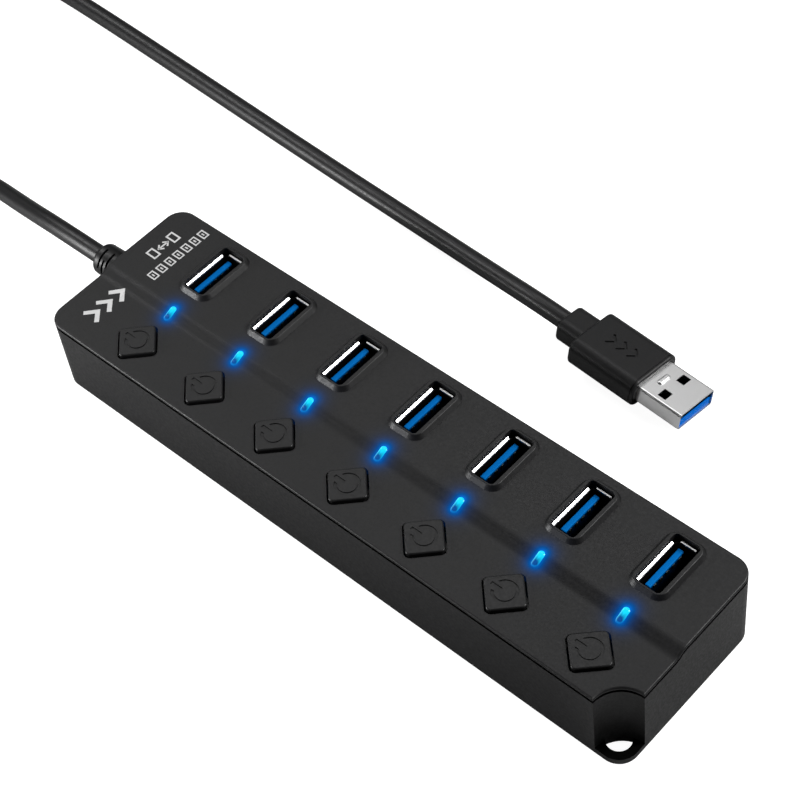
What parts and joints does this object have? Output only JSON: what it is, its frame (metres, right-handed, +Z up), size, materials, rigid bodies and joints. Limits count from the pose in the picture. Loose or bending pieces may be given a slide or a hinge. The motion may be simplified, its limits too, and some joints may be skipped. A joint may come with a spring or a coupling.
{
  "type": "usb hub",
  "caption": "Long flat USB hub with a row of upright sockets, a lit power button beside each, a bitten corner with a lanyard hole, and a captive lead with plug.",
  "frame": {"origin": "on the surface the hub stands on, below the middle of the case", "axes": "+X from the cord end to the lanyard end, +Y from the buttons to the sockets, +Z up"},
  "size_m": [0.3281, 0.0944, 0.0233],
  "materials": {
    "case_black": "fine spark texture, matt",
    "foot_rubber": "matt",
    "screw_steel": "plain",
    "board_green": "solder resist",
    "chip_black": "matt",
    "component_grey": "plain",
    "led_white": "clear resin",
    "port_steel": "bright nickel plate",
    "tongue_blue": "moulded",
    "contact_gold": "gold plate",
    "button_black": "matt",
    "plunger_white": "plain",
    "switch_black": "plain",
    "lens_cyan": "light guide, lit from below",
    "relief_black": "satin",
    "cord_black": "satin",
    "tie_black": "woven hook and loop",
    "plug_black": "satin",
    "plug_steel": "nickel plate",
    "plug_blue": "moulded"
  },
  "bodies": {
    "hub": {"top_cover": "case_black", "bottom_case": "case_black", "rubber_feet": "foot_rubber", "case_screws": "screw_steel", "circuit_board": "board_green", "hub_controllers": "chip_black", "board_components": "component_grey", "indicator_leds": "led_white", "port_shell_1": "port_steel", "port_shell_2": "port_steel", "port_shell_3": "port_steel", "port_shell_4": "port_steel", "port_shell_5": "port_steel", "port_shell_6": "port_steel", "port_shell_7": "port_steel", "port_insulator_1": "tongue_blue", "port_insulator_2": "tongue_blue", "port_insulator_3": "tongue_blue", "port_insulator_4": "tongue_blue", "port_insulator_5": "tongue_blue", "port_insulator_6": "tongue_blue", "port_insulator_7": "tongue_blue", "port_contacts": "contact_gold", "plug_contacts": "contact_gold", "switch_housing_1": "switch_black", "switch_housing_2": "switch_black", "switch_housing_3": "switch_black", "switch_housing_4": "switch_black", "switch_housing_5": "switch_black", "switch_housing_6": "switch_black", "switch_housing_7": "switch_black", "led_lens_1": "lens_cyan", "led_lens_2": "lens_cyan", "led_lens_3": "lens_cyan", "led_lens_4": "lens_cyan", "led_lens_5": "lens_cyan", "led_lens_6": "lens_cyan", "led_lens_7": "lens_cyan", "strain_relief": "relief_black", "cord_hub_end": "cord_black", "cord_plug_end": "cord_black", "cord_coil": "cord_black", "cord_tie": "tie_black", "plug_overmould": "plug_black", "plug_shell": "plug_steel", "plug_insulator": "plug_blue"},
    "button_1": {"power_button_1": "button_black", "switch_plunger_1": "plunger_white"},
    "button_2": {"power_button_2": "button_black", "switch_plunger_2": "plunger_white"},
    "button_3": {"power_button_3": "button_black", "switch_plunger_3": "plunger_white"},
    "button_4": {"power_button_4": "button_black", "switch_plunger_4": "plunger_white"},
    "button_5": {"power_button_5": "button_black", "switch_plunger_5": "plunger_white"},
    "button_6": {"power_button_6": "button_black", "switch_plunger_6": "plunger_white"},
    "button_7": {"power_button_7": "button_black", "switch_plunger_7": "plunger_white"}
  },
  "joints": [
    {"name": "button_1_press", "type": "slide", "parent": "hub", "child": "button_1", "axis": [0, 0, 1], "range_m": [-0.0015, 0], "stiffness_N_per_m": 400, "springref_m": 0.002},
    {"name": "button_2_press", "type": "slide", "parent": "hub", "child": "button_2", "axis": [0, 0, 1], "range_m": [-0.0015, 0], "stiffness_N_per_m": 400, "springref_m": 0.002},
    {"name": "button_3_press", "type": "slide", "parent": "hub", "child": "button_3", "axis": [0, 0, 1], "range_m": [-0.0015, 0], "stiffness_N_per_m": 400, "springref_m": 0.002},
    {"name": "button_4_press", "type": "slide", "parent": "hub", "child": "button_4", "axis": [0, 0, 1], "range_m": [-0.0015, 0], "stiffness_N_per_m": 400, "springref_m": 0.002},
    {"name": "button_5_press", "type": "slide", "parent": "hub", "child": "button_5", "axis": [0, 0, 1], "range_m": [-0.0015, 0], "stiffness_N_per_m": 400, "springref_m": 0.002},
    {"name": "button_6_press", "type": "slide", "parent": "hub", "child": "button_6", "axis": [0, 0, 1], "range_m": [-0.0015, 0], "stiffness_N_per_m": 400, "springref_m": 0.002},
    {"name": "button_7_press", "type": "slide", "parent": "hub", "child": "button_7", "axis": [0, 0, 1], "range_m": [-0.0015, 0], "stiffness_N_per_m": 400, "springref_m": 0.002}
  ]
}
